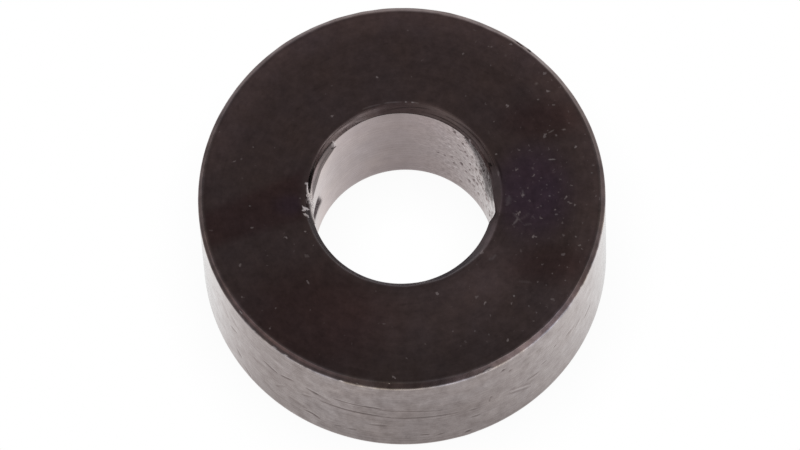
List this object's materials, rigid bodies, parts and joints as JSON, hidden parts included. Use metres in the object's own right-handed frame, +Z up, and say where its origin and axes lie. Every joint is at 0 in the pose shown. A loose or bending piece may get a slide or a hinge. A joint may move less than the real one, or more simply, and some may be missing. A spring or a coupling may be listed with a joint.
{
  "type": "spacer washer",
  "caption": "Thick black-finished steel spacer washer: a plain turned ring with a clearance bore and broken edges, worn and chipped at the bore mouth.",
  "frame": {"origin": "centre of the lower face, on the bore's axis", "axes": "+Z runs up the bore's axis; the ring stands on its lower face; the rim's nick is at 50 degrees from +X towards +Y"},
  "size_m": [0.019, 0.019, 0.0082],
  "materials": {
    "blackened_steel": "black oxide on turned steel, satin gloss, bare metal in the chips at the bore mouth"
  },
  "bodies": {
    "root": {"spacer_washer": "blackened_steel"}
  },
  "joints": []
}
